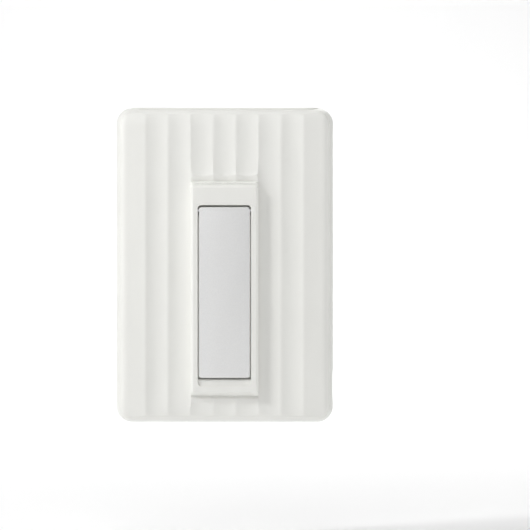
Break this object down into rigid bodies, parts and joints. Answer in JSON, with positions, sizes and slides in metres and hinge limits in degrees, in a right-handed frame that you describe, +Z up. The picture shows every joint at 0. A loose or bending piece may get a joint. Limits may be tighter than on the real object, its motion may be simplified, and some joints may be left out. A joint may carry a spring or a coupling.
{
  "type": "magnetic power bank with fold-out stand",
  "caption": "Slim white magnetic power bank with a fluted back, a fold-out metal stand leg, a light panel on its top end, a side charging port and a side power key.",
  "frame": {"origin": "under the middle of the bounding box, on the surface that the bank stands on", "axes": "+Z up along the long axis, -Y out of the fluted back with the stand, +Y out of the face that a phone snaps on to, +X to the right seen from the back"},
  "size_m": [0.071, 0.0164, 0.103],
  "materials": {
    "shell_white": "satin moulded polycarbonate",
    "panel_white": "satin translucent polycarbonate",
    "grip_silicone": "matte silicone",
    "key_white": "satin",
    "bezel_white": "satin",
    "leg_aluminium": "bead blasted and anodised, fine satin",
    "pin_steel": "ground",
    "spring_steel": "rolled",
    "screw_steel": "zinc plated",
    "lens_clear": "milky clear acrylic",
    "board_green": "glass-fibre board with solder mask",
    "port_steel": "drawn stainless steel",
    "black_plastic": "moulded",
    "cell_foil": "laminated pouch foil",
    "foam_black": "double-sided foam tape",
    "frame_plastic": "moulded ABS",
    "lead_red": "silicone wire insulation",
    "lead_black": "silicone wire insulation",
    "ferrite_grey": "sintered ferrite",
    "capacitor_ceramic": "sintered ceramic with tinned ends",
    "flex_amber": "polyimide film",
    "graphite": "graphite sheet in film",
    "coil_copper": "enamelled copper litz",
    "yoke_steel": "stamped",
    "magnet_nickel": "nickel plated",
    "led_body": "phosphor lens in a white package"
  },
  "bodies": {
    "bank": {"back_shell": "shell_white", "front_shell": "shell_white", "end_panel": "panel_white", "grip_ring": "grip_silicone", "port_bezel": "bezel_white", "friction_spring": "spring_steel", "spring_screw_1": "screw_steel", "spring_screw_2": "screw_steel", "board_screw_1": "screw_steel", "board_screw_2": "screw_steel", "icon_lens": "lens_clear", "light_pipe": "lens_clear", "main_board": "board_green", "end_board": "board_green", "usb_c_shell": "port_steel", "usb_c_tongue": "black_plastic", "tact_switch": "port_steel", "battery_cell": "cell_foil", "cell_tape": "foam_black", "cell_frame": "frame_plastic", "thermistor": "black_plastic", "battery_lead_red": "lead_red", "battery_lead_black": "lead_black", "power_inductor": "ferrite_grey", "power_controller": "black_plastic", "wireless_driver": "black_plastic", "capacitor_1": "capacitor_ceramic", "capacitor_2": "capacitor_ceramic", "capacitor_3": "capacitor_ceramic", "flex_cable": "flex_amber", "heat_spreader": "graphite", "ferrite_sheet": "ferrite_grey", "charging_coil": "coil_copper", "magnet_yoke": "yoke_steel", "alignment_magnet": "magnet_nickel", "charge_led": "led_body", "status_led_1": "led_body", "status_led_2": "led_body", "status_led_3": "led_body", "status_led_4": "led_body", "magnet_01": "magnet_nickel", "magnet_02": "magnet_nickel", "magnet_03": "magnet_nickel", "magnet_04": "magnet_nickel", "magnet_05": "magnet_nickel", "magnet_06": "magnet_nickel", "magnet_07": "magnet_nickel", "magnet_08": "magnet_nickel", "magnet_09": "magnet_nickel", "magnet_10": "magnet_nickel", "magnet_11": "magnet_nickel", "magnet_12": "magnet_nickel"},
    "stand": {"stand_leg": "leg_aluminium", "hinge_pin": "pin_steel"},
    "key": {"power_key": "key_white", "switch_plunger": "black_plastic"}
  },
  "joints": [
    {"name": "stand_hinge", "type": "hinge", "parent": "bank", "child": "stand", "pos_m": [0, -0.0071, 0.0692], "axis": [-1, 0, 0], "range_deg": [0, 75]},
    {"name": "power_key_press", "type": "slide", "parent": "bank", "child": "key", "axis": [1, 0, 0], "range_m": [0, 0.00035], "stiffness_N_per_m": 1500, "springref_m": -0.0001}
  ]
}
